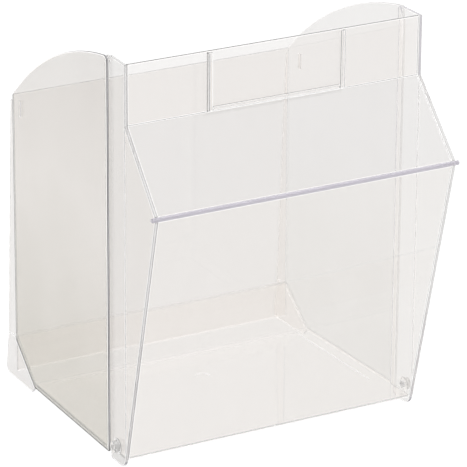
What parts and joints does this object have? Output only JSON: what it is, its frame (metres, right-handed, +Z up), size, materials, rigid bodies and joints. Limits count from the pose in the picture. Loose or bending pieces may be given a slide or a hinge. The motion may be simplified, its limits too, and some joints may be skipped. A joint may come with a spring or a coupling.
{
  "type": "tip-out storage bin",
  "caption": "Clear open-topped storage bin with a beaked front, curved side ears, a label frame and pivot pins at the foot of its front, on which it tips out of a cabinet.",
  "frame": {"origin": "middle of the footprint, on the surface that the bin stands on", "axes": "+Z up, the beaked front faces -Y, the back faces +Y, +X to the right of someone who stands behind the front and looks along +Y"},
  "size_m": [0.2842, 0.2858, 0.348],
  "materials": {
    "tub_clear": "clear moulded polystyrene, polished",
    "front_clear": "clear moulded polystyrene, polished"
  },
  "bodies": {
    "root": {"back_panel": "tub_clear", "beak_rail": "front_clear", "floor_panel": "tub_clear", "front_flange_left": "front_clear", "front_flange_right": "front_clear", "front_lower_panel": "front_clear", "front_upper_panel": "front_clear", "front_wing_left": "front_clear", "front_wing_right": "front_clear", "header_panel": "front_clear", "label_guide_left": "front_clear", "label_guide_right": "front_clear", "label_ledge": "front_clear", "pivot_pin_left": "front_clear", "pivot_pin_right": "front_clear", "ramp_panel": "tub_clear", "rear_foot_left": "tub_clear", "rear_foot_right": "tub_clear", "rear_rib_left": "tub_clear", "rear_rib_right": "tub_clear", "side_panel_left": "tub_clear", "side_panel_right": "tub_clear", "stop_nib_left": "tub_clear", "stop_nib_right": "tub_clear"}
  },
  "joints": []
}
